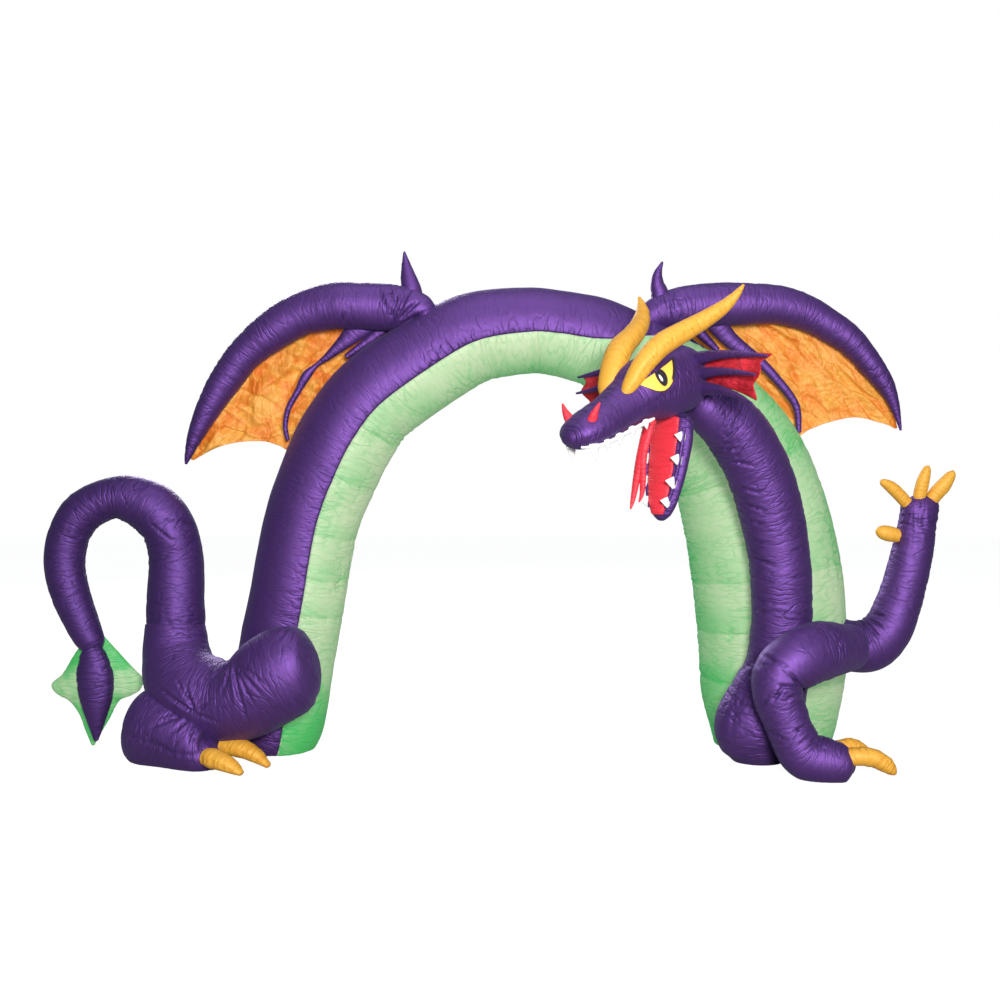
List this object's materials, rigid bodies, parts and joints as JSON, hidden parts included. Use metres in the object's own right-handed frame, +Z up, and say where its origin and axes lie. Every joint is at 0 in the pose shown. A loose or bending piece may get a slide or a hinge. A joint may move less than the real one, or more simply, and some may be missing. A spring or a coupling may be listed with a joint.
{
  "type": "inflatable arch",
  "caption": "Free-standing inflatable archway in the form of a winged dragon, with tail, raised claw and open-mouthed head, that people walk through",
  "frame": {"origin": "on the ground, in the middle of the object's bounding box", "axes": "+X along the arch from the tail's side to the raised claw's side, +Y from the front to the back, +Z up"},
  "size_m": [4.6166, 1.7018, 2.5337],
  "materials": {
    "purple_nylon": "satin taffeta, faint weave",
    "green_nylon": "satin taffeta, light seeping through",
    "orange_nylon": "thin taffeta, crinkled",
    "yellow_nylon": "satin taffeta",
    "red_nylon": "satin taffeta",
    "white_nylon": "satin taffeta"
  },
  "bodies": {
    "root": {"arch_back": "purple_nylon", "rump": "purple_nylon", "tail": "purple_nylon", "tail_spindle": "purple_nylon", "haunch_near": "purple_nylon", "haunch_far": "purple_nylon", "hind_foot_near": "purple_nylon", "hind_foot_far": "purple_nylon", "neck": "purple_nylon", "fore_leg": "purple_nylon", "raised_arm": "purple_nylon", "head": "purple_nylon", "jaw": "purple_nylon", "frill_rib_upper_near": "purple_nylon", "frill_rib_upper_far": "purple_nylon", "frill_rib_middle_near": "purple_nylon", "frill_rib_middle_far": "purple_nylon", "frill_rib_lower_near": "purple_nylon", "frill_rib_lower_far": "purple_nylon", "wing_arm_left": "purple_nylon", "wing_arm_right": "purple_nylon", "wing_spike_left": "purple_nylon", "wing_spike_right": "purple_nylon", "batten_left_long": "purple_nylon", "batten_left_short": "purple_nylon", "batten_right_long": "purple_nylon", "batten_right_short": "purple_nylon", "arch_belly": "green_nylon", "tail_fin": "green_nylon", "wing_cloth_left": "orange_nylon", "wing_cloth_right": "orange_nylon", "hind_toe_outer_near": "yellow_nylon", "hind_toe_outer_far": "yellow_nylon", "hind_toe_inner_near": "yellow_nylon", "hind_toe_inner_far": "yellow_nylon", "fore_toe_inner": "yellow_nylon", "fore_toe_outer": "yellow_nylon", "claw_left": "yellow_nylon", "claw_middle": "yellow_nylon", "claw_right": "yellow_nylon", "thumb": "yellow_nylon", "horn_near": "yellow_nylon", "horn_far": "yellow_nylon", "eye_near": "yellow_nylon", "eye_far": "yellow_nylon", "mouth_lining": "red_nylon", "tongue": "red_nylon", "nostril_near": "red_nylon", "nostril_far": "red_nylon", "frill_web_near": "red_nylon", "frill_web_far": "red_nylon", "upper_teeth_near": "white_nylon", "upper_teeth_far": "white_nylon", "lower_teeth_near": "white_nylon", "lower_teeth_far": "white_nylon"}
  },
  "joints": []
}
